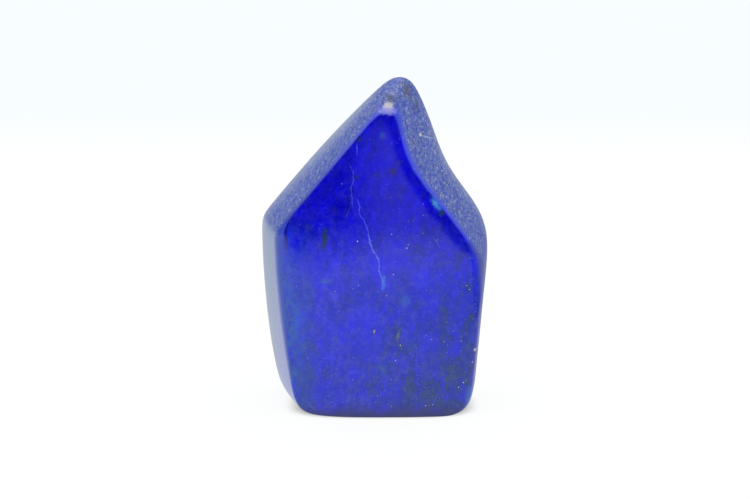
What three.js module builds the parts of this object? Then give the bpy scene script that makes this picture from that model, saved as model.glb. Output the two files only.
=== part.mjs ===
// A polished, self-standing free-form of lapis lazuli: one solid stone, cut with a saw, ground on a wheel and
// polished all over. Millimetres, +Z up, the broad polished window looks towards -Y.
//
// The stone is the room left inside a set of nearly flat ground faces. Neighbouring faces run into each other
// over a rounded edge, tight round the window and soft everywhere else, and the foot is ground dead flat. A narrow
// bevel runs down each side of the window.

import * as THREE from "three";

// The point every face is set out from, inside the stone.
const CENTRE = new THREE.Vector3(0, 0.1, 42);

// One ground face: azimuth of its outward direction (0 towards -Y, 90 towards +X), lean of that direction above
// the level, distance from the centre, and the radii of its slight bow across and up. Angles are in degrees.
const WINDOW = { azimuth: 0, lean: 3, reach: 16.8, acrossRadius: 220, upRadius: 700 };
const LEFT_SIDE = { azimuth: 283.7, lean: -2.3, reach: 29.1, acrossRadius: 680, upRadius: 300 };
const RIGHT_SIDE = { azimuth: 85.8, lean: -5, reach: 31.25, acrossRadius: 340, upRadius: Infinity };
const LEFT_BEVEL = { azimuth: 331, lean: 1.9, reach: 25.1, acrossRadius: Infinity, upRadius: Infinity };
const RIGHT_BEVEL = { azimuth: 60, lean: 5.4, reach: 31.2, acrossRadius: Infinity, upRadius: Infinity };
const LEFT_SLOPE = { azimuth: 283.7, lean: 39.2, reach: 28.6, acrossRadius: 850, upRadius: 3000 };
const RIGHT_SLOPE_UPPER = { azimuth: 64.9, lean: 6.5, reach: 18.1, acrossRadius: 245, upRadius: 335 };
const RIGHT_SLOPE_LOWER = { azimuth: 70.4, lean: 36.1, reach: 27.7, acrossRadius: 245, upRadius: 235 };
const RIDGE = { azimuth: 5.5, lean: 50.6, reach: 42.4, acrossRadius: 250, upRadius: 250 };
const BACK = { azimuth: 180, lean: 3.5, reach: 17.3, acrossRadius: 145, upRadius: 200 };
const BACK_SLOPE = { azimuth: 180, lean: 27.4, reach: 35.2, acrossRadius: 165, upRadius: 165 };
const HEEL = { azimuth: 239, lean: -38.4, reach: 50.3, acrossRadius: 200, upRadius: 200 };

// How far from the meeting line two faces start to round into each other. The summit grows softer and the foot
// crisper from the window to the back.
const WINDOW_EDGE = 1.3;
const LEFT_BEVEL_EDGE = 2.6;
const RIGHT_BEVEL_EDGE = 2.3;
const LEFT_SHOULDER = 3.8;
const RIGHT_SHOULDER = 7.8;
const RIGHT_HOLLOW = 5.9;
const SUMMIT_AT_WINDOW = 4.7;
const SUMMIT_GROWTH = 0.35;
const SUMMIT_LEAST = 2;
const SUMMIT_MOST = 14;
const RIDGE_EDGE = 5.2;
const HEEL_EDGE = 12.3;
const BACK_EDGE = 11;
const BACK_BEND = 14;
const FOOT_AT_WINDOW = 10.5;
const FOOT_AT_BACK = 6;
const DEPTH = 34;

// Points round the stone, and the rings of them: over the window as fractions of the way out to its edge, along
// the sides as fractions of the depth, over the back as fractions of the way out again.
const SEGMENTS = 144;
const WINDOW_RINGS = [0.18, 0.4, 0.62, 0.81, 0.91, 0.95, 0.978, 1];
const SIDE_RINGS = [0.02, 0.045, 0.08, 0.13, 0.19, 0.26, 0.33, 0.4, 0.47, 0.54, 0.61, 0.68, 0.75, 0.82, 0.89, 0.95, 1];
const BACK_RINGS = [0.95, 0.89, 0.82, 0.72, 0.58, 0.4, 0.18];
const POINTS_HALVED_FROM_MIDDLE = [8, 4, 2];
const OUTLINE_HALF_WIDTH = 32;
const OUTLINE_HALF_HEIGHT = 42;
const FARTHEST = 80;
const HALVINGS = 40;

const radians = THREE.MathUtils.degToRad;

// Outward, across and upward directions of a face.
function setOut(face) {
  const a = radians(face.azimuth);
  const e = radians(face.lean);
  return {
    outward: new THREE.Vector3(Math.sin(a) * Math.cos(e), -Math.cos(a) * Math.cos(e), Math.sin(e)),
    across: new THREE.Vector3(Math.cos(a), Math.sin(a), 0),
    upward: new THREE.Vector3(-Math.sin(a) * Math.sin(e), Math.cos(a) * Math.sin(e), Math.cos(e)),
    reach: face.reach,
    acrossBow: 0.5 / face.acrossRadius,
    upBow: 0.5 / face.upRadius,
  };
}

// Height of a point over a face: negative inside the stone, zero on the face, positive outside.
function over(face, point) {
  const from = point.clone().sub(CENTRE);
  const u = from.dot(face.across);
  const v = from.dot(face.upward);
  return from.dot(face.outward) - face.reach + u * u * face.acrossBow + v * v * face.upBow;
}

// The higher of two heights, eased where they are closer than the given width: an outer edge, rounded.
function rounded(a, b, width) {
  const near = Math.max(width - Math.abs(a - b), 0) / width;
  return Math.max(a, b) + (near ** 3 * width) / 6;
}

// The lower of two heights, eased in the same way: a hollow between two faces.
function hollowed(a, b, width) {
  return -rounded(-a, -b, width);
}

const window = setOut(WINDOW);
const leftSide = setOut(LEFT_SIDE);
const rightSide = setOut(RIGHT_SIDE);
const leftBevel = setOut(LEFT_BEVEL);
const rightBevel = setOut(RIGHT_BEVEL);
const leftSlope = setOut(LEFT_SLOPE);
const rightSlopeUpper = setOut(RIGHT_SLOPE_UPPER);
const rightSlopeLower = setOut(RIGHT_SLOPE_LOWER);
const ridge = setOut(RIDGE);
const back = setOut(BACK);
const backSlope = setOut(BACK_SLOPE);
const heel = setOut(HEEL);

// Height over everything but the window. A narrow bevel takes the corner off between the window and each side.
function overBody(point) {
  const slope = hollowed(over(rightSlopeUpper, point), over(rightSlopeLower, point), RIGHT_HOLLOW);
  let left = rounded(over(leftSide, point), over(leftSlope, point), LEFT_SHOULDER);
  left = rounded(left, over(leftBevel, point), LEFT_BEVEL_EDGE);
  let right = rounded(over(rightSide, point), slope, RIGHT_SHOULDER);
  right = rounded(right, over(rightBevel, point), RIGHT_BEVEL_EDGE);
  const behind = point.y - CENTRE.y + WINDOW.reach;
  const summit = THREE.MathUtils.clamp(SUMMIT_AT_WINDOW + SUMMIT_GROWTH * behind, SUMMIT_LEAST, SUMMIT_MOST);
  let height = rounded(left, right, summit);
  height = rounded(height, over(ridge, point), RIDGE_EDGE);
  height = rounded(height, over(heel, point), HEEL_EDGE);
  height = rounded(height, rounded(over(back, point), over(backSlope, point), BACK_BEND), BACK_EDGE);
  const foot = THREE.MathUtils.lerp(FOOT_AT_WINDOW, FOOT_AT_BACK, THREE.MathUtils.clamp(behind / DEPTH, 0, 1));
  return rounded(height, -point.z, foot);
}

// Height over the whole stone.
function overStone(point) {
  return rounded(overBody(point), over(window, point), WINDOW_EDGE);
}

// Halves a range until it holds the place where the height turns from inside to outside.
function crossing(height, near, far) {
  let low = near;
  let high = far;
  for (let i = 0; i < HALVINGS; i += 1) {
    const middle = (low + high) / 2;
    if (height(middle) < 0) {
      low = middle;
    } else {
      high = middle;
    }
  }
  return (low + high) / 2;
}

// The point of the window's face straight in front of an offset from its middle.
function onWindow(x, z) {
  const at = (depth) => new THREE.Vector3(CENTRE.x + x, CENTRE.y - depth, CENTRE.z + z);
  return at(crossing((depth) => over(window, at(depth)), 0, FARTHEST));
}

// The point of the surface in a direction from the centre. The foot is level to the last digit.
function onStone(direction) {
  const at = (distance) => CENTRE.clone().addScaledVector(direction, distance);
  const point = at(crossing((distance) => overStone(at(distance)), 0, FARTHEST));
  if (Math.abs(point.z) < 1e-6) {
    point.z = 0;
  }
  return point;
}

// Offset of a direction round the window, evenly spaced along an oval as tall as the stone.
function spoke(turn) {
  const x = OUTLINE_HALF_WIDTH * Math.cos(turn);
  const z = OUTLINE_HALF_HEIGHT * Math.sin(turn);
  const length = Math.hypot(x, z);
  return { x: x / length, z: z / length };
}

// The window's edge as offsets from its middle, once round.
const windowEdge = Array.from({ length: SEGMENTS }, (_, i) => {
  const { x, z } = spoke((2 * Math.PI * i) / SEGMENTS);
  const reach = crossing((r) => overBody(onWindow(r * x, r * z)), 0, FARTHEST);
  return { x: reach * x, z: reach * z };
});

// One ring on the stone: the edge drawn in to a fraction of its size and set back by a fraction of the depth.
function ringPoints(count, size, setBack) {
  const step = SEGMENTS / count;
  return Array.from({ length: count }, (_, i) => {
    const { x, z } = windowEdge[i * step];
    const aim = onWindow(x * size, z * size);
    aim.y += DEPTH * setBack;
    return onStone(aim.sub(CENTRE).normalize());
  });
}

// Rings in order, with fewer points near the two middles.
function allRings() {
  const places = [
    ...WINDOW_RINGS.map((size) => [size, 0]),
    ...SIDE_RINGS.map((setBack) => [1, setBack]),
    ...BACK_RINGS.map((size) => [size, 1]),
  ];
  return places.map(([size, setBack], i) => {
    const fromFront = POINTS_HALVED_FROM_MIDDLE[i] ?? 1;
    const fromBack = POINTS_HALVED_FROM_MIDDLE[places.length - 1 - i] ?? 1;
    return ringPoints(SEGMENTS / Math.max(fromFront, fromBack), size, setBack);
  });
}

// Triangles between two rings that have the same number of points, or one twice as many as the other.
function stitch(faces, a, b) {
  const coarse = Math.min(a.count, b.count);
  for (let i = 0; i < coarse; i += 1) {
    const spotA = (k) => a.first + ((k + a.count) % a.count);
    const spotB = (k) => b.first + ((k + b.count) % b.count);
    if (a.count === b.count) {
      faces.push(spotA(i), spotB(i), spotA(i + 1));
      faces.push(spotA(i + 1), spotB(i), spotB(i + 1));
    } else if (a.count < b.count) {
      faces.push(spotA(i), spotB(2 * i), spotB(2 * i + 1));
      faces.push(spotA(i), spotB(2 * i + 1), spotA(i + 1));
      faces.push(spotA(i + 1), spotB(2 * i + 1), spotB(2 * i + 2));
    } else {
      faces.push(spotA(2 * i), spotB(i), spotA(2 * i + 1));
      faces.push(spotA(2 * i + 1), spotB(i), spotB(i + 1));
      faces.push(spotA(2 * i + 1), spotB(i + 1), spotA(2 * i + 2));
    }
  }
}

function stoneGeometry() {
  const rings = allRings();
  const points = [onStone(onWindow(0, 0).sub(CENTRE).normalize())];
  const spans = rings.map((ring) => {
    const span = { first: points.length, count: ring.length };
    points.push(...ring);
    return span;
  });
  points.push(onStone(new THREE.Vector3(0, 1, 0)));
  const faces = [];
  const inner = spans[0];
  for (let i = 0; i < inner.count; i += 1) {
    faces.push(0, inner.first + i, inner.first + ((i + 1) % inner.count));
  }
  for (let i = 0; i + 1 < spans.length; i += 1) {
    stitch(faces, spans[i], spans[i + 1]);
  }
  const outer = spans[spans.length - 1];
  for (let i = 0; i < outer.count; i += 1) {
    faces.push(outer.first + i, points.length - 1, outer.first + ((i + 1) % outer.count));
  }
  const geometry = new THREE.BufferGeometry();
  geometry.setFromPoints(points);
  geometry.setIndex(faces);
  geometry.computeVertexNormals();
  return geometry;
}

const polishedLapis = new THREE.MeshStandardMaterial({
  name: "polished_lapis",
  color: 0x2a2fb8,
  roughness: 0.12,
  metalness: 0,
});

const lapisStone = new THREE.Mesh(stoneGeometry(), polishedLapis);
lapisStone.name = "lapis_stone";

const stone = new THREE.Group();
stone.add(lapisStone);

export default stone;
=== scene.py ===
"""A polished, self-standing free-form of lapis lazuli, dressed and lit on a pale table.

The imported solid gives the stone's place and size. Here the same ground faces are worked out again on a far finer
grid, with the small nicks and the slight unevenness of hand grinding, and the stone gets its mineral: deep blue
lazurite with grey-green streaks, pale calcite veins, brassy pyrite, and two slopes that were only half polished.
"""

import logging
import math
from collections.abc import Callable, Mapping, Sequence
from dataclasses import dataclass
from enum import Enum
from functools import reduce
from typing import Any

import bpy
import numpy as np
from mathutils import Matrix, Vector


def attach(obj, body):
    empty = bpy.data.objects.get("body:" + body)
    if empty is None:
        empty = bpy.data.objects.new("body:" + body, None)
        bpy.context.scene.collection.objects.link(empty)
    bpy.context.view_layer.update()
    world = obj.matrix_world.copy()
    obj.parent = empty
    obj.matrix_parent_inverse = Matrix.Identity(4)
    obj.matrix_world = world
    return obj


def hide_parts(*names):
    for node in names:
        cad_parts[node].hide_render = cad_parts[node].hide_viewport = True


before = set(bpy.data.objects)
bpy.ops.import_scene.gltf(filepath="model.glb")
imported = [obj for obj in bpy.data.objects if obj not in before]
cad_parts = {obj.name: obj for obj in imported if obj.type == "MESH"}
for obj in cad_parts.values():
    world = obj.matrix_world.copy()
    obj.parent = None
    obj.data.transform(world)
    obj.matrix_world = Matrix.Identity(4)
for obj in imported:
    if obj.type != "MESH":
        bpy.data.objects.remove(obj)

log = logging.getLogger("lapis")

MM = 0.001
NODE = "lapis_stone"
# The stone's centre, in millimetres: its faces are set out from it and its skin is found along rays from it.
CENTRE = np.array((0.0, 0.1, 42.0))
# A range with soft ends. It holds its end values by itself, so it needs no clamp.
EASED: dict[str, Any] = {"interpolation_type": "SMOOTHSTEP", "clamp": False}

Socket = bpy.types.NodeSocket


class Finish(Enum):
    """How far the wheels took a face. The value is the roughness they left."""

    MIRROR = 0.08
    GLOSS = 0.2
    SATIN = 0.42


def linear(hex_colour: str) -> tuple[float, float, float, float]:
    """Turns an sRGB hex colour into the linear one that shaders take.

    Args:
        hex_colour: six hex digits.

    Returns:
        Linear red, green and blue with an alpha of one.
    """
    parts = [int(hex_colour[i : i + 2], 16) / 255 for i in (0, 2, 4)]
    red, green, blue = (c / 12.92 if c <= 0.04045 else ((c + 0.055) / 1.055) ** 2.4 for c in parts)
    return (red, green, blue, 1.0)


def add(
    tree: bpy.types.NodeTree,
    kind: str,
    inputs: Mapping[str | int, Any] | Sequence[Any] = (),
    out: str | int = 0,
    **settings: Any,
) -> Any:
    """Adds one node to a tree, with its settings, its fixed inputs and its links.

    A map range's inputs 1 and 2 are the start and end of what goes in, and 3 and 4 of what comes out.

    Args:
        tree: the tree that takes the node.
        kind: the node's type name, without the ShaderNode in front.
        inputs: a value to set or an output socket to link for each input, in order or by name or number.
        out: the name or number of the output to hand back.
        settings: properties of the node itself.

    Returns:
        That output's socket, or None for a node without outputs.
    """
    node = tree.nodes.new("ShaderNode" + kind)
    for name, value in settings.items():
        setattr(node, name, value)
    for name, value in inputs.items() if isinstance(inputs, Mapping) else enumerate(inputs):
        if isinstance(value, bpy.types.NodeSocket):
            tree.links.new(value, node.inputs[name])
        else:
            node.inputs[name].default_value = value
    return node.outputs[out] if node.outputs else None


def product(tree: bpy.types.NodeTree, *shares: Any) -> Any:
    """What several shares leave together: their product, multiplied one after another."""
    return reduce(lambda so_far, next_one: add(tree, "Math", (so_far, next_one), operation="MULTIPLY"), shares)


def bare(block: Any) -> bpy.types.NodeTree:
    """Empties the node tree of a new material or world.

    Args:
        block: the material or world.

    Returns:
        Its tree.
    """
    block.use_nodes = True
    block.node_tree.nodes.clear()
    return block.node_tree


def placed(name: str, data: Any) -> bpy.types.Object:
    """Puts a new object into the scene.

    Args:
        name: the object's name.
        data: its mesh or camera.

    Returns:
        The object.
    """
    piece = bpy.data.objects.new(name, data)
    bpy.context.scene.collection.objects.link(piece)
    return piece


@dataclass(frozen=True)
class GroundFace:
    """One nearly flat face as it came off the wheel, set out from the stone's centre. Millimetres and degrees.

    Attributes:
        azimuth: turn of the outward direction, 0 towards -Y and 90 towards +X.
        lean: lift of the outward direction above the level.
        reach: distance from the stone's centre.
        across_radius: radius of the slight bow from side to side.
        up_radius: radius of the slight bow from top to bottom.
    """

    azimuth: float
    lean: float
    reach: float
    across_radius: float
    up_radius: float

    def over(self, points: np.ndarray) -> np.ndarray:
        """Height of points over the face: distance along its direction, plus half the square of each sideways
        distance over that way's bow radius.

        Args:
            points: positions, the last axis being x, y, z.

        Returns:
            Heights, negative inside the stone.
        """
        a, e = math.radians(self.azimuth), math.radians(self.lean)
        outward = np.array([math.sin(a) * math.cos(e), -math.cos(a) * math.cos(e), math.sin(e)])
        across = np.array([math.cos(a), math.sin(a), 0.0])
        upward = np.array([-math.sin(a) * math.sin(e), math.cos(a) * math.sin(e), math.cos(e)])
        away = points - CENTRE
        u, v = away @ across, away @ upward
        return away @ outward - self.reach + 0.5 * (u * u / self.across_radius + v * v / self.up_radius)


def rounded(a: np.ndarray, b: np.ndarray, width: float | np.ndarray) -> np.ndarray:
    """The higher of two heights, eased where they are closer than a width: an outer edge, rounded."""
    # The easing is the cube of the share of the width by which they are closer, times a sixth of the width.
    near = np.maximum(width - np.abs(a - b), 0.0) / width
    return np.maximum(a, b) + near**3 * width / 6.0


@dataclass(frozen=True)
class Nick:
    """A small chip out of the surface, with a soft round floor. Millimetres."""

    centre: tuple[float, float, float]
    radius: float
    depth: float


@dataclass(frozen=True)
class LapisFreeform:
    """The stone: its ground faces, its rounded edges, its nicks and the grid its skin is worked out on.

    Each name with edge, shoulder, hollow or bend is how wide two faces round into each other, in millimetres. The
    summit's width grows from the window backwards, and the foot's changes from the window to the back. The recut edge
    is the lower half of the window's right end, where the wheel went over it again. The roll is where the wheel ran
    out over the window's right edge: its width, its depth and how fast it fades past the edge.
    """

    window: GroundFace = GroundFace(0.0, 3.0, 16.8, 220.0, 700.0)
    left_side: GroundFace = GroundFace(283.7, -2.3, 29.1, 680.0, 300.0)
    right_side: GroundFace = GroundFace(85.8, -5.0, 31.25, 340.0, math.inf)
    left_bevel: GroundFace = GroundFace(331.0, 1.9, 25.1, math.inf, math.inf)
    right_bevel: GroundFace = GroundFace(60.0, 5.4, 31.2, math.inf, math.inf)
    left_slope: GroundFace = GroundFace(283.7, 39.2, 28.6, 850.0, 3000.0)
    right_slope_upper: GroundFace = GroundFace(64.9, 6.5, 18.1, 245.0, 335.0)
    right_slope_lower: GroundFace = GroundFace(70.4, 36.1, 27.7, 245.0, 235.0)
    ridge: GroundFace = GroundFace(5.5, 50.6, 42.4, 250.0, 250.0)
    back: GroundFace = GroundFace(180.0, 3.5, 17.3, 145.0, 200.0)
    back_slope: GroundFace = GroundFace(180.0, 27.4, 35.2, 165.0, 165.0)
    heel: GroundFace = GroundFace(239.0, -38.4, 50.3, 200.0, 200.0)
    window_edge: float = 0.8
    recut_edge: float = 3.6
    recut_from_x: float = 21.0
    recut_blend_x: float = 5.0
    recut_below_z: float = 51.0
    recut_blend_z: float = 12.0
    left_bevel_edge: float = 2.6
    right_bevel_edge: float = 2.3
    left_shoulder: float = 2.8
    right_shoulder: float = 7.8
    right_hollow: float = 5.9
    summit_at_window: float = 4.7
    summit_growth: float = 0.35
    summit_range: tuple[float, float] = (2.0, 14.0)
    ridge_edge: float = 5.2
    heel_edge: float = 12.3
    back_edge: float = 11.0
    back_bend: float = 14.0
    foot_at_window: float = 10.5
    foot_at_back: float = 6.0
    roll_width: float = 4.5
    roll_depth: float = 0.16
    roll_fade: float = 2.5
    depth: float = 34.0
    outline_half: tuple[float, float] = (32.0, 42.0)
    nicks: tuple[Nick, ...] = (
        Nick((3.9, -12.4, 84.6), 1.5, 0.30),
        Nick((17.2, -15.2, 59.0), 1.5, 0.34),
        Nick((14.2, -15.2, 63.6), 1.1, 0.20),
        Nick((10.9, -14.8, 68.6), 1.0, 0.22),
        Nick((27.6, -15.6, 18.6), 0.7, 0.22),
    )
    spokes: int = 512
    window_rings: int = 58
    side_rings: int = 86
    back_rings: int = 44
    edge_crowding: float = 1.6
    side_crowding: float = 0.45
    farthest: float = 80.0
    halvings: int = 42

    def slopes(self, points: np.ndarray) -> tuple[np.ndarray, np.ndarray]:
        """Heights over the left slope, then over the right one, whose two faces meet in an eased lower height."""
        upper, lower = self.right_slope_upper.over(points), self.right_slope_lower.over(points)
        return self.left_slope.over(points), -rounded(-upper, -lower, self.right_hollow)

    def over_body(self, points: np.ndarray) -> np.ndarray:
        """Height over everything but the window: the eased highest of all the other faces and the foot.

        Args:
            points: positions in millimetres.

        Returns:
            Heights, negative inside.
        """
        left, right = self.slopes(points)
        left = rounded(self.left_side.over(points), left, self.left_shoulder)
        left = rounded(left, self.left_bevel.over(points), self.left_bevel_edge)
        right = rounded(self.right_side.over(points), right, self.right_shoulder)
        right = rounded(right, self.right_bevel.over(points), self.right_bevel_edge)
        behind = points[..., 1] - CENTRE[1] + self.window.reach
        height = rounded(left, right, np.clip(self.summit_at_window + self.summit_growth * behind, *self.summit_range))
        height = rounded(height, self.ridge.over(points), self.ridge_edge)
        height = rounded(height, self.heel.over(points), self.heel_edge)
        rear = rounded(self.back.over(points), self.back_slope.over(points), self.back_bend)
        height = rounded(height, rear, self.back_edge)
        share = np.clip(behind / self.depth, 0.0, 1.0)
        foot = self.foot_at_window + (self.foot_at_back - self.foot_at_window) * share
        return rounded(height, -points[..., 2], foot)

    def over_stone(self, points: np.ndarray) -> np.ndarray:
        """Height over the whole stone, the window included. The window's edge is crisp, but for the recut part.

        Args:
            points: positions in millimetres.

        Returns:
            Heights, negative inside.
        """
        right = np.clip((points[..., 0] - self.recut_from_x) / self.recut_blend_x, 0.0, 1.0)
        low = np.clip((self.recut_below_z - points[..., 2]) / self.recut_blend_z, 0.0, 1.0)
        edge = self.window_edge + (self.recut_edge - self.window_edge) * right * low
        return rounded(self.over_body(points), self.window.over(points), edge)

    def crossing(self, height: Callable[[np.ndarray], np.ndarray], count: int) -> np.ndarray:
        """Halves a range of distances, for many places at once, until it holds where each height turns positive.

        Args:
            height: gives the heights at an array of distances.
            count: how many places there are.

        Returns:
            The distances.
        """
        low, high = np.zeros(count), np.full(count, self.farthest)
        for _ in range(self.halvings):
            middle = (low + high) / 2
            inside = height(middle) < 0
            low, high = np.where(inside, middle, low), np.where(inside, high, middle)
        return (low + high) / 2

    def on_window(self, x: np.ndarray, z: np.ndarray) -> np.ndarray:
        """Points of the window's face straight in front of offsets from its middle.

        Args:
            x: offsets sideways in millimetres.
            z: offsets upwards in millimetres.

        Returns:
            The points.
        """

        def at(depth: np.ndarray) -> np.ndarray:
            """The points at a depth in front of the middle, one for each offset."""
            return np.stack([CENTRE[0] + x, CENTRE[1] - depth, CENTRE[2] + z], axis=-1)

        return at(self.crossing(lambda depth: self.window.over(at(depth)), x.size))

    def grid(self) -> tuple[np.ndarray, np.ndarray]:
        """Works out the skin on a grid of spokes and rings.

        The spokes turn evenly round an oval; the window's edge along each is where the body's height on the
        window's face is nothing. A ring is that edge drawn in to a share of its size and set back by a share of
        the depth, and each point of it is where a ray from the centre through it leaves the stone. The rings lie
        closer together towards the window's edge.

        Returns:
            Points, with the two middles last, and triangles that close the skin.
        """
        turn = 2 * np.pi * np.arange(self.spokes) / self.spokes
        x, z = self.outline_half[0] * np.cos(turn), self.outline_half[1] * np.sin(turn)
        length = np.hypot(x, z)
        x, z = x / length, z / length
        edge = self.crossing(lambda r: self.over_body(self.on_window(r * x, r * z)), self.spokes)
        front = 1 - (1 - np.arange(1, self.window_rings + 1) / self.window_rings) ** self.edge_crowding
        t = np.arange(1, self.side_rings + 1) / self.side_rings
        side = (1 - self.side_crowding) * t + self.side_crowding * (0.5 - 0.5 * np.cos(np.pi * t))
        rear = 1 - np.arange(1, self.back_rings) / self.back_rings
        size = np.concatenate([front, np.ones_like(side), rear])
        set_back = np.concatenate([np.zeros_like(front), side, np.ones_like(rear)])
        aim = self.on_window((size[:, None] * (edge * x)).ravel(), (size[:, None] * (edge * z)).ravel())
        aim[:, 1] += self.depth * np.repeat(set_back, self.spokes)
        far_behind = np.array([[CENTRE[0], 99.0, CENTRE[2]]])
        aim = np.concatenate([aim, self.on_window(np.zeros(1), np.zeros(1)), far_behind])
        direction = aim - CENTRE
        direction /= np.linalg.norm(direction, axis=1, keepdims=True)
        distance = self.crossing(lambda d: self.over_stone(CENTRE + direction * d[:, None]), len(direction))
        points = CENTRE + direction * distance[:, None]
        i = np.arange(self.spokes)
        j = (i + 1) % self.spokes
        inner = (np.arange(size.size - 1) * self.spokes)[:, None]
        a, b = inner + i, inner + j
        c, d = a + self.spokes, b + self.spokes
        body = [np.stack(corners, -1).reshape(-1, 3) for corners in ((a, c, b), (b, c, d))]
        first = size.size * self.spokes
        outer = first - self.spokes
        cap = np.stack([np.full_like(i, first), i, j], -1)
        tail = np.stack([outer + i, np.full_like(i, first + 1), outer + j], -1)
        return points, np.concatenate([*body, cap, tail])

    def outward(self, points: np.ndarray) -> np.ndarray:
        """Outward unit directions at points of the skin, from the rise of the height over a twentieth of a
        millimetre to either side along each axis.

        Args:
            points: positions on the skin, in millimetres.

        Returns:
            The directions.
        """
        step = 0.05
        sides = step * np.eye(3)
        rise = np.stack([self.over_stone(points + side) - self.over_stone(points - side) for side in sides], axis=-1)
        return rise / np.linalg.norm(rise, axis=1, keepdims=True)

    def hand_ground(self, points: np.ndarray) -> np.ndarray:
        """How far the skin stands out from the true faces: a few slow waves about a hundredth of a millimetre
        high, less the square of the nearness to the right slope where the wheel ran out, on the window alone,
        less one soft bell-shaped dip for each nick, and nothing at all near the foot.

        Args:
            points: positions on the true faces, in millimetres.

        Returns:
            Heights in millimetres.
        """
        x, y, z = points.T
        waves = (
            0.012 * np.sin(0.23 * x + 0.16 * z + 0.4 * np.sin(0.17 * z + 0.9))
            + 0.005 * np.sin(0.37 * z - 0.26 * x + 1.7 + 0.3 * y)
            + 0.002 * np.sin(0.71 * x - 0.55 * y + 0.63 * z + 2.9)
        )
        over_right = np.maximum(self.slopes(points)[1], self.right_bevel.over(points))
        over_right = np.maximum(over_right, self.right_side.over(points))
        near = np.clip(1.0 + over_right / self.roll_width, 0.0, 1.0)
        past = np.clip(1.0 + self.window.over(points) / self.roll_fade, 0.0, 1.0)
        height = waves - self.roll_depth * near**2 * past**2
        for nick in self.nicks:
            away = np.linalg.norm(points - np.array(nick.centre), axis=1) / nick.radius
            height = height - nick.depth * np.exp(-(away**2))
        still_foot, foot_blend = 1.5, 6.0
        return height * np.clip((z - still_foot) / foot_blend, 0.0, 1.0)

    def build(self) -> bpy.types.Object:
        """Makes the stone's mesh, with two measures per point that its finish reads: `rim`, how far past the
        window's edge a point lies, and `slope`, how far inside a slope's own ground it lies.

        Returns:
            The stone, at the origin, with its place in its mesh.
        """
        points, triangles = self.grid()
        skin = points + self.outward(points) * self.hand_ground(points)[:, None]
        skin[np.abs(points[:, 2]) < 1e-6, 2] = 0.0
        mesh = bpy.data.meshes.new("lapis_freeform")
        mesh.from_pydata((skin * MM).tolist(), [], triangles.tolist())
        mesh.polygons.foreach_set("use_smooth", np.ones(len(triangles), dtype=bool))
        others = (self.left_side, self.right_side, self.back, self.left_bevel, self.right_bevel)
        slope = np.maximum(*self.slopes(points)) - np.maximum.reduce([face.over(points) for face in others])
        rim = self.over_body(points) - self.window.over(points)
        for name, values in (("rim", rim), ("slope", slope)):
            mesh.attributes.new(name, "FLOAT", "POINT").data.foreach_set("value", values.astype(np.float32))
        mesh.update()
        return placed("lapis_freeform", mesh)


@dataclass(frozen=True)
class Vein:
    """A healed crack filled with paler mineral, seen as a line down the front.

    Attributes:
        width: half its width in millimetres.
        colour: its mineral's colour.
        strength: how much of the blue it covers, from 0 to 1.
        wander: how far it strays from its course, in millimetres.
        course: places along it, as height and sideways position in millimetres.
    """

    width: float
    colour: str
    strength: float
    wander: float
    course: tuple[tuple[float, float], ...]


@dataclass(frozen=True)
class Patch:
    """A small body of another mineral that breaks the surface, or a hairline scratch where it is very thin. One, on the
    lower right rounded edge, is a painted highlight.

    Attributes:
        colour: its colour.
        x: its middle's place sideways in millimetres, then y and z.
        half_x: its half size along x in millimetres, then along y and z.
        strength: how much of the blue it covers, from 0 to 1.
        ragged: how uneven its edge is, as a share of its radius.
        soft: how wide its edge is to either side, as a share of its radius.
        turn: its turn in the plane of the front, in degrees, clockwise from the front.
    """

    colour: str
    x: float
    y: float
    z: float
    half_x: float
    half_y: float
    half_z: float
    strength: float
    ragged: float = 0.3
    soft: float = 0.25
    turn: float = 0.0


@dataclass(frozen=True)
class Nest:
    """A place where dark silicate and pyrite gather: an upright oval on the front. Millimetres."""

    x: float
    z: float
    half_width: float
    half_height: float
    strength: float


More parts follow.
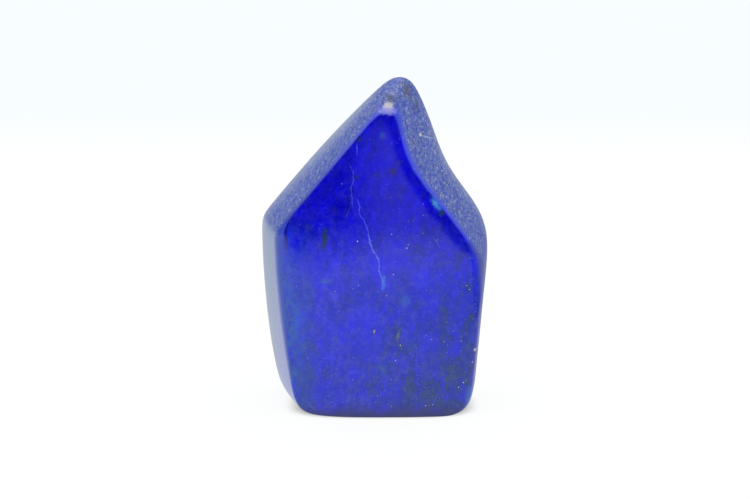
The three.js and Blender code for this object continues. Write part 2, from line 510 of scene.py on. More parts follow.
@dataclass(frozen=True)
class Lapis:
    """The rock itself: the colours of its minerals, with a painted sheen, painted shades and a painted reflection tint
    among them, then its markings and where they lie.

    Attributes:
        nest_reach: how much wider than its half sizes a nest fades out.
    """

    name: str = "polished_lapis_lazuli"
    ior: float = 1.5
    # Each pair is the colour high up, then the greener one low down, whose extra green is a painted tint of the table's
    # reflection.
    blues: tuple[tuple[str, str], ...] = (("0304AE", "041EB0"), ("0A04E2", "121CE4"))
    slates: tuple[str, str] = ("040A8A", "082C96")
    nights: tuple[str, str] = ("020458", "041A72")
    olives: tuple[str, str] = ("141E44", "183874")
    veil: str = "A2A6CE"
    teal: str = "286696"
    flank: str = "00528E"
    right_flank: str = "36489A"
    grain: tuple[tuple[float, str], ...] = ((0.34, "1E2E96"), (0.46, "4054BE"), (0.56, "667ABA"), (0.68, "9AA6CE"))
    grain_olive: str = "465260"
    grain_cream: str = "BCC4CC"
    grain_gold: str = "A09060"
    # Painted sheen colour for the slopes' far ends.
    back_sheen: str = "AEB8CC"
    rim_blue: str = "4256E4"
    rim_teal: str = "2E4AAA"
    calcite: str = "DADCD4"
    pyrite: str = "B0AC84"
    # Painted shade colour for the window's left crease.
    crease_shade: str = "10145A"
    # Painted shade colour for the stone's foot.
    low_shade: str = "2A2C50"
    nest_reach: float = 1.9
    veins: tuple[Vein, ...] = (
        Vein(0.13, "7387EE", 0.55, 0.05, ((75.9, -4.82), (72.5, -4.64))),
        Vein(0.12, "5E6CE4", 0.5, 0.25, (
            (69.8, -6.47), (65.9, -5.72), (63.7, -6.4), (62.0, -6.21), (58.9, -6.11), (57.6, -5.89),
        )),
        Vein(0.14, "6074F0", 0.6, 0.25, (
            (61.0, -4.54), (58.9, -4.14), (56.8, -4.04), (55.4, -3.01), (52.6, -1.99), (50.6, -1.48),
        )),
        Vein(0.18, "7088FA", 0.85, 0.25, (
            (51.4, -1.66), (47.2, -0.64), (45.4, 0.49), (43.5, 1.22), (41.1, 1.22), (39.2, 1.85), (37.4, 2.53),
        )),
    )
    nests: tuple[Nest, ...] = tuple(Nest(*row) for row in (
        (-4.6, 67.2, 1.6, 1.4, 0.35), (5.1, 68.6, 1.8, 1.6, 0.4), (6.2, 71.0, 1.6, 1.0, 0.3),
        (0.2, 67.2, 1.0, 1.2, 0.3), (11.6, 45.7, 2.4, 3.2, 0.4), (4.3, 40.2, 1.0, 1.4, 0.5), (7.9, 48.0, 1.2, 1.4, 0.4),
        (25.2, 38.4, 0.9, 3.0, 0.5), (21.4, 44.5, 1.8, 1.8, 0.4), (6.5, 23.3, 1.3, 4.6, 0.6),
        (19.1, 28.4, 1.5, 4.0, 0.45), (18.6, 21.2, 1.6, 4.0, 0.5), (-1.1, 15.2, 1.3, 3.6, 0.45),
        (1.0, 12.2, 1.4, 2.0, 0.35), (14.9, 8.2, 2.2, 4.4, 0.5), (9.3, 9.5, 1.8, 4.4, 0.5), (21.2, 12.6, 1.9, 3.6, 0.6),
        (20.0, 8.9, 1.2, 1.6, 0.5), (25.0, 20.0, 1.6, 3.0, 0.35), (24.3, 24.8, 1.3, 1.8, 0.4),
        (26.1, 28.2, 1.2, 2.0, 0.6), (25.8, 12.2, 2.0, 3.0, 0.4), (-6.0, 34.0, 1.8, 5.0, 0.35),
        (-10.9, 38.4, 1.5, 2.4, 0.35), (-14.3, 11.0, 1.4, 3.8, 0.4), (-17.2, 20.6, 1.4, 1.6, 0.4),
        (4.0, 11.0, 8.0, 5.0, 0.3), (15.0, 4.0, 9.0, 2.2, 0.25), (4.2, 87.4, 2.2, 1.6, 0.9), (8.8, 88.4, 1.6, 2.4, 0.9),
        (11.4, 84.4, 1.3, 2.4, 0.7), (11.3, 74.9, 1.4, 2.6, 0.7),
    ))
    patches: tuple[Patch, ...] = tuple(Patch(*row) for row in (
        ("1418E6", -2.5, -17.2, 24.5, 3.4, 3.0, 9.5, 0.45, 0.6, 0.8),
        ("1418E6", 4.0, -16.6, 42.6, 4.6, 3.0, 5.5, 0.4, 0.6, 0.8),
        ("1418E6", -17.0, -16.0, 42.6, 3.0, 3.0, 3.6, 0.3, 0.6, 0.8),
        ("0A08E2", 6.6, -14.8, 71.6, 3.6, 1.8, 5.0, 0.45, 0.6, 0.8),
        ("04068C", -11.2, -15.0, 65.4, 2.0, 3.0, 7.6, 0.45, 0.5, 0.8, 37.0),
        ("082096", -7.6, -16.8, 38.4, 1.8, 3.0, 3.2, 0.4, 0.7, 0.8),
        ("1C4078", -18.4, -16.8, 10.6, 2.4, 3.0, 8.4, 0.5, 0.7, 0.8),
        ("CEC6CC", 3.7, -11.2, 85.4, 1.4, 2.4, 1.3, 0.95, 0.7, 0.2),
        ("989AE6", 3.5, -12.3, 84.3, 2.5, 2.0, 0.9, 0.8, 0.5, 0.3),
        ("4A4C3C", 4.4, -8.0, 87.1, 1.5, 2.6, 0.9, 0.55, 1.6, 0.9),
        ("5A5434", 8.8, -3.3, 88.6, 0.9, 3.0, 1.4, 0.55, 1.6, 0.9),
        ("4A5248", 11.3, -1.2, 84.6, 0.8, 2.4, 1.3, 0.45, 1.6, 0.9),
        ("A8A6CC", 4.8, -5.6, 88.2, 0.6, 1.6, 0.5, 0.7, 1.2, 0.6),
        ("2A2A38", 5.1, -14.6, 68.4, 0.9, 1.4, 1.0, 0.6, 1.5, 0.8, 20.0),
        ("3A3830", 6.6, -14.6, 70.6, 0.5, 1.4, 0.4, 0.55, 1.5, 0.8),
        ("2E2C34", -4.7, -14.6, 67.0, 0.5, 1.4, 0.7, 0.6, 1.5, 0.8),
        ("2E3040", 0.2, -14.6, 67.4, 0.4, 1.4, 0.6, 0.5, 1.5, 0.8),
        ("04068C", 21.6, -16.3, 52.6, 1.8, 1.7, 6.0, 0.5, 0.5, 0.9, -32.0),
        ("3876CC", 16.7, -14.9, 59.6, 0.9, 1.6, 1.9, 0.6, 0.5, 0.8, -32.0),
        ("52A0DC", 16.4, -14.9, 59.4, 0.5, 1.6, 1.1, 0.7, 0.5, 0.8, -32.0),
        ("4A8ED8", 17.5, -14.9, 58.2, 0.35, 1.4, 0.5, 0.6, 0.5, 0.8, -40.0),
        ("0404A0", 2.6, -13.6, 80.0, 3.0, 3.0, 4.5, 0.45, 0.4, 0.9),
        ("1E3A50", 18.2, -14.9, 57.0, 0.9, 1.4, 0.7, 0.75, 0.6, 0.3, -40.0),
        ("1A364A", -13.5, -15.8, 50.0, 0.75, 1.5, 2.7, 0.9, 0.5, 0.6, 3.0),
        ("2D4FB0", 2.1, -14.0, 78.0, 0.8, 1.2, 0.9, 0.5, 0.6, 0.5),
        ("18304A", -4.2, -13.8, 77.0, 0.6, 1.2, 0.8, 0.7, 0.6, 0.4),
        ("1C2C70", -0.1, -17.4, 24.5, 0.5, 1.0, 0.85, 0.55, 0.6, 0.5, 20.0),
        ("A8A898", -0.1, -17.4, 24.5, 0.24, 1.0, 0.42, 0.7, 0.6, 0.7, 20.0),
        ("6E7A5A", 6.4, -17.4, 23.4, 0.35, 1.0, 1.3, 0.5, 0.8, 0.5, 12.0),
        ("A8A898", 7.0, -17.4, 20.6, 0.2, 1.0, 0.23, 0.8), ("A8A898", 8.7, -16.3, 47.5, 0.2, 1.0, 0.2, 0.8),
        ("D2D4CC", 9.1, -16.3, 48.4, 0.12, 1.0, 0.12, 0.8), ("D2D4CC", -4.6, -16.3, 49.4, 0.16, 1.0, 0.16, 0.9),
        ("D2D4CC", 4.6, -16.1, 51.3, 0.12, 1.0, 0.12, 0.8), ("D2D4CC", 5.1, -16.7, 40.3, 0.16, 1.0, 0.12, 0.8),
        ("D2D4CC", -4.4, -16.9, 37.3, 0.12, 1.0, 0.12, 0.8),
        ("2C68A0", 8.4, -17.0, 33.1, 1.2, 1.5, 1.5, 0.42, 0.8, 0.6),
        ("3E86CC", 2.4, -16.9, 37.9, 0.45, 1.5, 1.7, 0.5, 0.8, 0.6),
        ("A8A898", 3.2, -17.0, 34.5, 0.16, 1.0, 0.16, 0.5, 0.6),
        ("2C68A0", -13.3, -16.5, 38.3, 1.2, 1.5, 0.7, 0.4, 0.8, 0.6),
        ("2C68A0", 2.4, -17.6, 14.1, 0.8, 1.2, 1.4, 0.35, 0.8, 0.6),
        ("16407E", 10.3, -17.2, 20.5, 2.0, 1.6, 1.8, 0.45, 0.8, 0.7),
        ("34465A", 9.0, -17.4, 10.1, 0.5, 1.2, 2.0, 0.5, 0.8, 0.6, -12.0),
        ("1624CA", 16.1, -16.9, 19.9, 1.5, 1.6, 2.4, 0.6, 0.7, 0.6),
        ("1624CA", 21.3, -16.5, 18.3, 1.8, 1.6, 1.8, 0.6, 0.7, 0.6),
        ("1624CA", 4.9, -17.6, 7.0, 2.2, 1.6, 2.0, 0.4, 0.7, 0.7),
        ("1624CA", -12.0, -17.0, 8.0, 5.0, 2.0, 3.0, 0.3, 0.7, 0.7),
        # Painted highlight: a pale teal streak along the lower right rounded edge, for its reflection of the table.
        ("3A6EA4", 25.9, -16.0, 6.2, 0.7, 1.8, 3.0, 0.5, 0.8, 0.7, 14.0),
        ("C2C0A4", 27.5, -15.4, 18.7, 0.45, 1.2, 0.4, 0.8, 0.5), ("D2D4CC", 26.8, -15.9, 15.3, 0.16, 1.0, 0.16, 0.9),
        ("D2D4CC", 24.4, -16.3, 9.7, 0.16, 1.0, 0.14, 0.9), ("D2D4CC", 23.0, -16.4, 8.4, 0.14, 1.0, 0.14, 0.9),
        ("D2D4CC", 5.7, -17.5, 16.3, 0.12, 1.0, 0.12, 0.9), ("D2D4CC", 15.5, -16.9, 22.1, 0.12, 1.0, 0.12, 0.9),
        ("D2D4CC", 14.0, -17.2, 3.4, 0.14, 1.0, 0.14, 0.9), ("D2D4CC", 15.9, -17.1, 3.7, 0.12, 1.0, 0.12, 0.8),
        ("D2D4CC", 23.7, -16.2, 21.4, 0.12, 1.0, 0.12, 0.8), ("D2D4CC", 25.0, -15.5, 36.9, 0.16, 1.0, 0.12, 0.8),
        ("D2D4CC", 25.8, -15.5, 35.8, 0.12, 1.0, 0.12, 0.8),
        ("E6D8C4", 12.5, -3.2, 76.3, 0.45, 0.9, 0.45, 0.9, 0.5, 0.4),
        ("A8B8E0", 14.3, 0.6, 75.1, 2.0, 4.4, 0.22, 0.6, 0.6, 0.5, 31.0),
        ("7886E0", 16.6, -15.3, 49.2, 1.6, 1.6, 0.07, 0.4, 0.5, 0.5, 54.0),
        ("7886E0", 26.1, -15.2, 44.4, 0.7, 1.6, 0.07, 0.45, 0.5, 0.5, 4.0),
        ("4456D8", -7.2, -15.6, 57.2, 1.9, 1.6, 0.08, 0.4, 0.5, 0.5, 112.0),
        ("6C8EC8", -21.7, -16.0, 12.2, 0.9, 1.6, 0.08, 0.4, 0.5, 0.5, 60.0),
        ("6C8EC8", -17.1, -16.6, 2.8, 1.5, 1.8, 0.1, 0.5, 0.5, 0.5, 47.0),
    ))


class PolishedLapis(Lapis):
    """Lapis lazuli, sawn, ground on a wheel and polished: a hard, fine-grained rock of lazurite with calcite,
    diopside and pyrite. It takes a glassy polish on broad faces, so they mirror the room weakly at a straight look
    and strongly at a glancing one. The slopes were left at a half polish and show their grain.

    Attributes:
        tree: the material's nodes.
        mm: a place on the stone in millimetres, with x, y and z as its parts.
        rim: how far past the window's edge it lies, in millimetres.
        slope: how far inside a slope's own ground it lies, in millimetres.
        shreds: a fine noise that frays edges.
        gathered: how strongly dark silicate and pyrite gather there.
        grainy: how half-polished it is.
        colour: its colour, with the layers laid so far.
    """

    tree: bpy.types.NodeTree
    mm: Socket
    x: Socket
    y: Socket
    z: Socket
    rim: Socket
    slope: Socket
    shreds: Socket
    gathered: Socket
    grainy: Socket
    colour: Socket

    def build(self) -> bpy.types.Material:
        """Makes the material, one layer over another.

        Returns:
            The material, with all its nodes.
        """
        material = bpy.data.materials.new(self.name)
        tree = self.tree = bare(material)
        metres = add(tree, "TexCoord", out="Object")
        self.mm = add(tree, "VectorMath", {0: metres, "Scale": 1.0 / MM}, operation="SCALE")
        self.x, self.y, self.z = add(tree, "SeparateXYZ", (self.mm,)).node.outputs
        self.rim = add(tree, "Attribute", out="Fac", attribute_name="rim")
        self.slope = add(tree, "Attribute", out="Fac", attribute_name="slope")
        self.shreds = add(tree, "TexNoise", {0: self.mm, "Scale": 1.5, "Detail": 5.0, "Roughness": 0.7})
        self.gathered = self.gathering()
        self.grainy = self.half_polish()
        self.lazurite()
        self.veiled()
        self.flanks()
        self.clean_rim()
        self.half_polished_grain()
        self.painted_back_sheen()
        self.specks()
        for vein in self.veins:
            self.lay(vein.colour, self.vein_share(vein))
        # One patch colour is a painted highlight on the lower right edge; the rest are minerals and scratches.
        for mineral in dict.fromkeys(patch.colour for patch in self.patches):
            share: Any = 0.0
            for patch in self.patches:
                if patch.colour == mineral:
                    share = add(tree, "Math", (share, self.patch_share(patch)), operation="MAXIMUM")
            self.lay(mineral, share)
        self.painted_crease_shade()
        self.painted_foot_shade()
        surface = {"Base Color": self.colour, "Roughness": self.roughness(), "IOR": self.ior}
        add(tree, "OutputMaterial", {"Surface": add(tree, "BsdfPrincipled", surface)})
        return material

    def mixed(self, under: Any, over: Any, share: Any) -> Socket:
        """One colour with another laid over it where a share says so, each as sRGB hex or as a socket."""
        low, high = (linear(colour) if isinstance(colour, str) else colour for colour in (under, over))
        return add(self.tree, "Mix", {0: share, 6: low, 7: high}, 2, data_type="RGBA")

    def lay(self, over: Any, share: Any) -> None:
        """Lays a colour, as sRGB hex or as a socket, over the layers so far where a share says so."""
        self.colour = self.mixed(self.colour, over, share)

    def nearness(self, place: Socket, centre: tuple[float, ...], size: tuple[float, ...], turn: float = 0.0) -> Socket:
        """How near a place is to the middle of a turned oval: 1 at the middle, 0 from the oval's edge outwards.

        Args:
            place: the place in millimetres.
            centre: the oval's middle.
            size: its half sizes.
            turn: its turn in the plane of the front, in degrees, clockwise from the front.

        Returns:
            The nearness.
        """
        oval = {0: place, "Location": centre, "Rotation": (0.0, math.radians(turn), 0.0), "Scale": size}
        own = add(self.tree, "Mapping", oval, vector_type="TEXTURE")
        return add(self.tree, "TexGradient", (own,), "Fac", gradient_type="SPHERICAL")

    def roughness(self) -> Socket:
        """How rough each place is: a mirror on the window, gloss on the left side, and satin on the right side and
        the slopes, which stood against a coarser wheel.

        Returns:
            The roughness.
        """
        tree, satin = self.tree, Finish.SATIN.value
        past = add(tree, "MapRange", (self.rim, 0.6, 2.6), **EASED)
        right = add(tree, "MapRange", (self.x, -10.0, 10.0, Finish.GLOSS.value, satin))
        sides = add(tree, "Mix", {0: past, 2: Finish.MIRROR.value, 3: right})
        return add(tree, "Mix", {0: self.grainy, 2: sides, 3: satin})

    def gathering(self) -> Socket:
        """How strongly dark silicate and pyrite gather at a place: more towards the lower right, and most in the
        nests, whose ovals fade from their middles out and are pulled about by a noise of a few millimetres.

        Returns:
            The measure, from 0 to about 1.3.
        """
        tree = self.tree
        sway = add(tree, "TexNoise", {0: self.mm, "Scale": 0.5, "Detail": 6.0, "Roughness": 0.65}, 1)
        sway = add(tree, "VectorMath", (sway, (0.5, 0.5, 0.5)), operation="SUBTRACT")
        strayed = add(tree, "VectorMath", (sway, (10.0, 0.0, 12.0), self.mm), operation="MULTIPLY_ADD")
        flat = add(tree, "VectorMath", (strayed, (1.0, 0.0, 1.0)), operation="MULTIPLY")
        lean = add(tree, "VectorMath", (flat, (0.015, 0.0, -0.019)), "Value", operation="DOT_PRODUCT")
        general = add(tree, "MapRange", (lean, -0.85, 0.3, 0.0, 0.75))
        front = add(tree, "MapRange", (self.y, 4.0, -2.0))
        most: Any = 0.0
        for nest in self.nests:
            size = (self.nest_reach * nest.half_width, 1.0, self.nest_reach * nest.half_height)
            near = self.nearness(flat, (nest.x, 0.0, nest.z), size)
            share = add(tree, "MapRange", (near, 0.0, 0.95, 0.0, nest.strength), **EASED)
            most = add(tree, "Math", (most, share), operation="MAXIMUM")
        return add(tree, "Math", (product(tree, most, front), general), operation="ADD")

    def half_polish(self) -> Socket:
        """How half-polished a place is: all of it on the slopes' own ground, nothing on the sides or within about two
        millimetres past the window's edge, where it starts raggedly.

        Returns:
            The share, from 0 to 1.
        """
        ragged = add(self.tree, "Math", (self.shreds, 9.0, self.rim), operation="MULTIPLY_ADD")
        past = add(self.tree, "MapRange", (ragged, 5.8, 8.0), **EASED)
        return product(self.tree, past, add(self.tree, "MapRange", (self.slope, -1.5, 1.5), **EASED))

    def lazurite(self) -> None:
        """The blue ground: clouds of two blues about a centimetre across, more violet higher up and greener low down,
        where the extra green is a painted tint of the table's reflection. Where dark silicate gathers it is mottled
        with slate 1 to 3 mm across, with night-blue grains about half a millimetre across and with olive-black hearts."""
        tree = self.tree
        upright = add(tree, "Mapping", {0: self.mm, "Rotation": (0.0, 0.1, 0.0), "Scale": (1.0, 1.0, 0.55)})
        clouds = add(tree, "TexNoise", {0: upright, "Scale": 0.22, "Detail": 7.0, "Roughness": 0.75})
        share = add(tree, "MapRange", (clouds, 0.38, 0.62))
        # Painted reflection tint: low down, each colour turns to its greener second tone.
        low = add(tree, "MapRange", (self.z, 56.0, 38.0))
        dull, clear = (self.mixed(high, deep, low) for high, deep in self.blues)
        self.colour = self.mixed(dull, clear, share)
        # A layer's two colours, its scale, how rough its noise is, how much it gathers, its range and its strength.
        layers = (
            (self.slates, 0.36, 0.70, 0.20, 0.51, 0.76, 0.95),
            (self.nights, 1.1, 0.78, 0.10, 0.55, 0.74, 0.45),
            (self.olives, 0.80, 0.82, 0.26, 0.68, 0.79, 0.88),
        )
        for (high, deep), scale, roughness, pull, start, end, strength in layers:
            noise = add(tree, "TexNoise", {0: upright, "Scale": scale, "Detail": 8.0, "Roughness": roughness})
            level = add(tree, "Math", (self.gathered, pull, noise), operation="MULTIPLY_ADD")
            share = add(tree, "MapRange", (level, start, end, 0.0, strength))
            self.lay(self.mixed(high, deep, low), share)

    def veiled(self) -> None:
        """The thin pale veil of fine calcite that all the blue has, uneven at every size from a few millimetres down
        to single crystals, thicker low down and thinner towards the right."""
        tree = self.tree
        noise = add(tree, "TexNoise", {0: self.mm, "Scale": 0.5, "Detail": 9.0, "Roughness": 0.82})
        low = add(tree, "MapRange", (self.z, 58.0, 40.0, 0.04, 0.11))
        left = add(tree, "MapRange", (self.x, 24.0, 2.0, 0.6))
        most = product(tree, low, left)
        self.lay(self.veil, add(tree, "MapRange", (noise, 0.45, 0.66, 0.0, most)))

    def flanks(self) -> None:
        """Silicate along the stone's two flanks. The left one is teal grey: all of the left side, and fading over a
        centimetre into the front, in upright streaks. The right one is a narrow greyish band past the edge."""
        tree = self.tree
        flank = add(tree, "MapRange", (self.x, -15.5, -26.0))
        low = add(tree, "MapRange", (self.z, 56.0, 32.0))
        own = add(tree, "Mapping", {0: self.mm, "Scale": (1.0, 1.0, 0.45)})
        streaks = add(tree, "TexNoise", {0: own, "Scale": 0.7, "Detail": 6.0, "Roughness": 0.7})
        uneven = add(tree, "MapRange", (streaks, 0.36, 0.64, 0.0, 1.4))
        share = product(tree, flank, low, uneven)
        self.lay(self.teal, add(tree, "Math", (share, 0.75), operation="MULTIPLY", use_clamp=True))
        streaked = add(tree, "MapRange", (streaks, 0.35, 0.65, 0.84))
        self.lay(self.flank, add(tree, "MapRange", (self.x, -25.5, -27.5, 0.0, streaked)))
        past = add(tree, "MapRange", (self.rim, 0.8, 3.0, 0.0, 0.8))
        right = add(tree, "MapRange", (self.x, 22.0, 26.0))
        near = add(tree, "MapRange", (self.rim, 12.0, 5.0, 0.35))
        self.lay(self.right_flank, product(tree, past, right, near))

    def clean_rim(self) -> None:
        """The clean blue band that the edge wheel polished up just past the window's edge, more teal on the left."""
        tree = self.tree
        share = add(tree, "MapRange", (self.rim, 0.0, 0.8, 0.0, 0.75), **EASED)
        right = add(tree, "MapRange", (self.x, -18.0, -8.0))
        for value, start, end in ((self.x, 27.5, 24.0), (self.x, -28.5, -26.0), (self.rim, 20.0, 11.0)):
            share = product(tree, share, add(tree, "MapRange", (value, start, end)))
        self.lay(self.mixed(self.rim_teal, self.rim_blue, right), share)

    def half_polished_grain(self) -> None:
        """The grain that the slopes show: blues and greys that change every millimetre, and on them single crystals
        half a millimetre across, cream, olive or gold, all drawn out along the stroke of the wheel, front to back.
        Olive dust lies in clouds."""
        tree = self.tree
        drawn = add(tree, "Mapping", {0: self.mm, "Scale": (1.0, 0.42, 1.0)})
        grain = add(tree, "TexNoise", {0: drawn, "Scale": 1.1, "Detail": 6.0, "Roughness": 0.82})
        ramp = add(tree, "ValToRGB", (grain,))
        elements = ramp.node.color_ramp.elements
        while len(elements) < len(self.grain):
            elements.new(0.5)
        for element, (position, colour) in zip(elements, self.grain, strict=True):
            element.position, element.color = position, linear(colour)
        dust = add(tree, "TexNoise", {0: drawn, "Scale": 0.5, "Detail": 8.0, "Roughness": 0.82})
        level = add(tree, "Math", (self.gathered, 0.10, dust), operation="MULTIPLY_ADD")
        coat = self.mixed(ramp, self.grain_olive, add(tree, "MapRange", (level, 0.55, 0.70, 0.0, 0.55)))
        distance = add(tree, "TexVoronoi", {0: drawn, "Scale": 1.5})
        chance = add(tree, "SeparateXYZ", (distance.node.outputs["Color"],)).node.outputs
        spot = add(tree, "MapRange", (distance, 0.42, 0.2))
        # A crystal's chance, the least chance that shows it, how much it gathers, its colour and its strength.
        for roll, above, pull, colour, strength in (
            (chance[0], 0.74, 0.30, self.grain_cream, 0.60),
            (chance[1], 0.76, 0.12, self.grain_olive, 0.75),
            (chance[2], 0.91, 0.04, self.grain_gold, 0.60),
        ):
            roll = add(tree, "Math", (self.gathered, pull, roll), operation="MULTIPLY_ADD")
            there = add(tree, "Math", (roll, above), operation="GREATER_THAN")
            coat = self.mixed(coat, colour, product(tree, there, spot, strength))
        self.lay(coat, self.grainy)

    def painted_back_sheen(self) -> None:
        """Painted sheen: the far ends of the slopes, where they round over to the back, laid pale for the reflection of
        the bright room at that glancing turn, over more of the left slope than of the right."""
        tree = self.tree
        right = add(tree, "MapRange", (self.x, 0.0, 10.0))
        later = add(tree, "MapRange", (self.z, 80.0, 58.0, 0.0, -4.0))
        later = add(tree, "Mix", {0: right, 2: later, 3: -6.5})
        behind = add(tree, "Math", (self.rim, later), operation="ADD")
        most = add(tree, "MapRange", (self.z, 58.0, 80.0, 0.75, 0.95))
        share = add(tree, "MapRange", (behind, 7.0, 21.0, 0.0, most), **EASED)
        ground = add(tree, "MapRange", (self.slope, -3.0, 0.5))
        through = add(tree, "MapRange", (self.shreds, 0.35, 0.65, 1.05, 0.7))
        # Painted sheen: a pale colour standing in for the reflection at the slopes' far ends.
        self.lay(self.back_sheen, product(tree, share, ground, through))

    def specks(self) -> None:
        """Single specks of calcite and pyrite, 0.1 to 0.2 mm in radius, each in a cell of its own: its size, whether
        it is there, its mineral and how clean it is are the cell's chances. They are rare in clean blue, and common
        where silicate gathers and on the slopes."""
        tree = self.tree
        ragged = add(tree, "TexNoise", {0: self.mm, "Scale": 3.0, "Detail": 2.0}, 1)
        frayed = add(tree, "VectorMath", (ragged, (0.5, 0.5, 0.5), self.mm), operation="MULTIPLY_ADD")
        for scale, few, many in ((1.05, 0.06, 0.45), (1.9, 0.12, 0.62)):
            distance = add(tree, "TexVoronoi", {0: frayed, "Scale": scale})
            chance = add(tree, "SeparateXYZ", (distance.node.outputs["Color"],)).node.outputs
            level = add(tree, "Math", (self.grainy, 0.5, self.gathered), operation="MULTIPLY_ADD")
            often = add(tree, "MapRange", (level, 0.1, 1.3, few, many))
            there = add(tree, "Math", (chance[0], often), operation="LESS_THAN")
            reach = add(tree, "MapRange", (chance[1], 0.0, 1.0, 0.08, 0.22))
            core = product(tree, reach, 0.4)
            spot = add(tree, "MapRange", (distance, reach, core, 0.0, there))
            clean = add(tree, "MapRange", (chance[2], 0.0, 1.0, 0.16, 0.85))
            share = product(tree, spot, clean)
            brassy = add(tree, "MapRange", (chance[1], 0.5, 0.85))
            self.lay(self.mixed(self.calcite, self.pyrite, brassy), share)

    def vein_share(self, vein: Vein) -> Socket:
        """How much of a place a vein covers: full on its course, fading over its width to either side, towards
        its two ends, and wherever its filling thins out; nothing at the back.

        Args:
            vein: the vein.

        Returns:
            The share, from 0 to 1.
        """
        tree = self.tree
        heights, sideways = zip(*vein.course, strict=True)
        low, high = min(heights), max(heights)
        left, right = min(sideways) - 1.0, max(sideways) + 1.0
        curve = add(tree, "FloatCurve", {1: add(tree, "MapRange", (self.z, low, high))})
        line = curve.node.mapping.curves[0]
        spots = sorted(((z - low) / (high - low), (x - left) / (right - left)) for z, x in vein.course)
        line.points[0].location, line.points[1].location = spots[0], spots[-1]
        for spot in spots[1:-1]:
            line.points.new(*spot)
        curve.node.mapping.update()
        middle = add(tree, "MapRange", (curve, 0.0, 1.0, left, right))
        noise = add(tree, "TexNoise", {0: self.mm, "Scale": 0.8, "Detail": 5.0})
        stray = add(tree, "MapRange", (noise, 0.0, 1.0, -2 * vein.wander, 2 * vein.wander))
        off = self.x
        for other in (middle, stray):
            off = add(tree, "Math", (off, other), operation="SUBTRACT")
        off = add(tree, "Math", (off,), operation="ABSOLUTE")
        fade = {0: off, 1: vein.width * 1.7, 2: vein.width * 0.3, 4: vein.strength}
        share = add(tree, "MapRange", fade, **EASED)
        end = add(tree, "Math", (self.z, 0.5 * (low + high)), operation="SUBTRACT")
        end = add(tree, "Math", (end,), operation="ABSOLUTE")
        reach = 0.5 * (high - low)
        end = add(tree, "MapRange", (end, reach + 0.3, max(reach - 1.5, 0.0)))
        filled = add(tree, "MapRange", (self.shreds, 0.38, 0.56, 0.35))
        front = add(tree, "Math", (self.y, -6.0), operation="LESS_THAN")
        return product(tree, share, end, filled, front)

    def patch_share(self, patch: Patch) -> Socket:
        """How much of a place a patch covers: full inside its turned oval, with a soft, frayed edge.

        Args:
            patch: the patch.

        Returns:
            The share, from 0 to 1.
        """
        reach = 1.0 + 2.5 * patch.ragged + patch.soft
        size = (reach * patch.half_x, reach * patch.half_y, reach * patch.half_z)
        near = self.nearness(self.mm, (patch.x, patch.y, patch.z), size, patch.turn)
        frayed = {0: self.shreds, 1: -5.0 * patch.ragged / reach, 2: near}
        near = add(self.tree, "Math", frayed, operation="MULTIPLY_ADD")
        return add(self.tree, "MapRange", (near, 0.0, 2.0 * patch.soft / reach, 0.0, patch.strength), **EASED)

    def painted_crease_shade(self) -> None:
        """Painted shade: a thin dark line along the window's left edge, in its crease, from the tip to half way down.
        """
        tree = self.tree
        off = add(tree, "Math", (self.rim,), operation="ABSOLUTE")
        share = add(tree, "MapRange", (off, 0.30, 0.05, 0.0, 0.75), **EASED)
        left = add(tree, "MapRange", (self.x, 0.5, -4.0))
        high = add(tree, "MapRange", (self.z, 44.0, 50.0))
        # Painted shade: a dark colour laid in the window's left crease.
        self.lay(self.crease_shade, product(tree, share, left, high))

    def painted_foot_shade(self) -> None:
        """Painted shade: the last few millimetres above the table, greyed and darkened where the foot stands in shade.
        """
        share = add(self.tree, "MapRange", (self.z, 5.5, 0.6, 0.0, 0.90))
        # Painted shade: a dark grey laid over the stone's lowest millimetres.
        self.lay(self.low_shade, add(self.tree, "Math", (share, 1.6), operation="POWER"))


